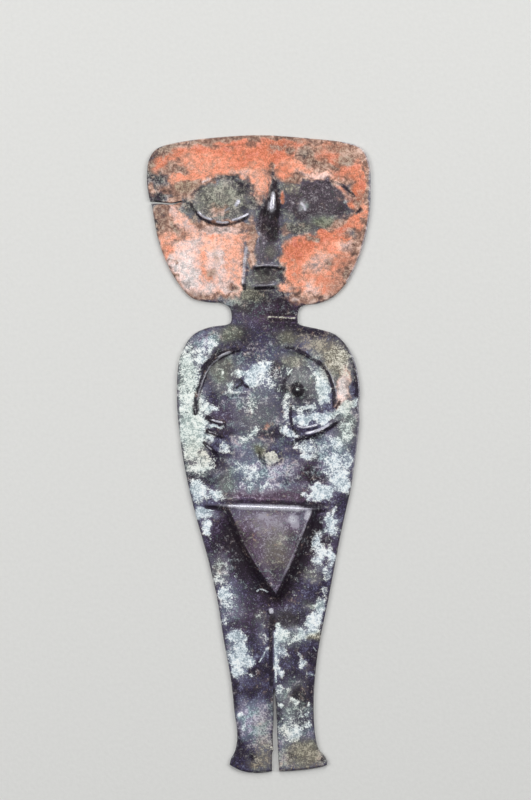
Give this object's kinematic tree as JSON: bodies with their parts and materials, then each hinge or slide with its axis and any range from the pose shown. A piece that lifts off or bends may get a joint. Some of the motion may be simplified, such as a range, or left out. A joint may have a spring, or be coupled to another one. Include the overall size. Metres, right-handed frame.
{
  "type": "silver figurine",
  "caption": "Flat figurine of a standing woman hammered from one silver sheet, broad painted head, raised eyes, nose, arms and triangle; lies on its back.",
  "frame": {"origin": "under the middle of the figure's box, on the ground it lies on", "axes": "+X across the figure towards its own left side, +Y from the feet to the top of the head, +Z out of its front"},
  "size_m": [0.0704, 0.2004, 0.0057],
  "materials": {
    "tarnished_silver": "hammered sheet silver, tarnished plum-grey, with pale green-white corrosion crust on the body and worn vermilion pigment on the face"
  },
  "bodies": {
    "root": {"silver_figurine": "tarnished_silver"}
  },
  "joints": []
}
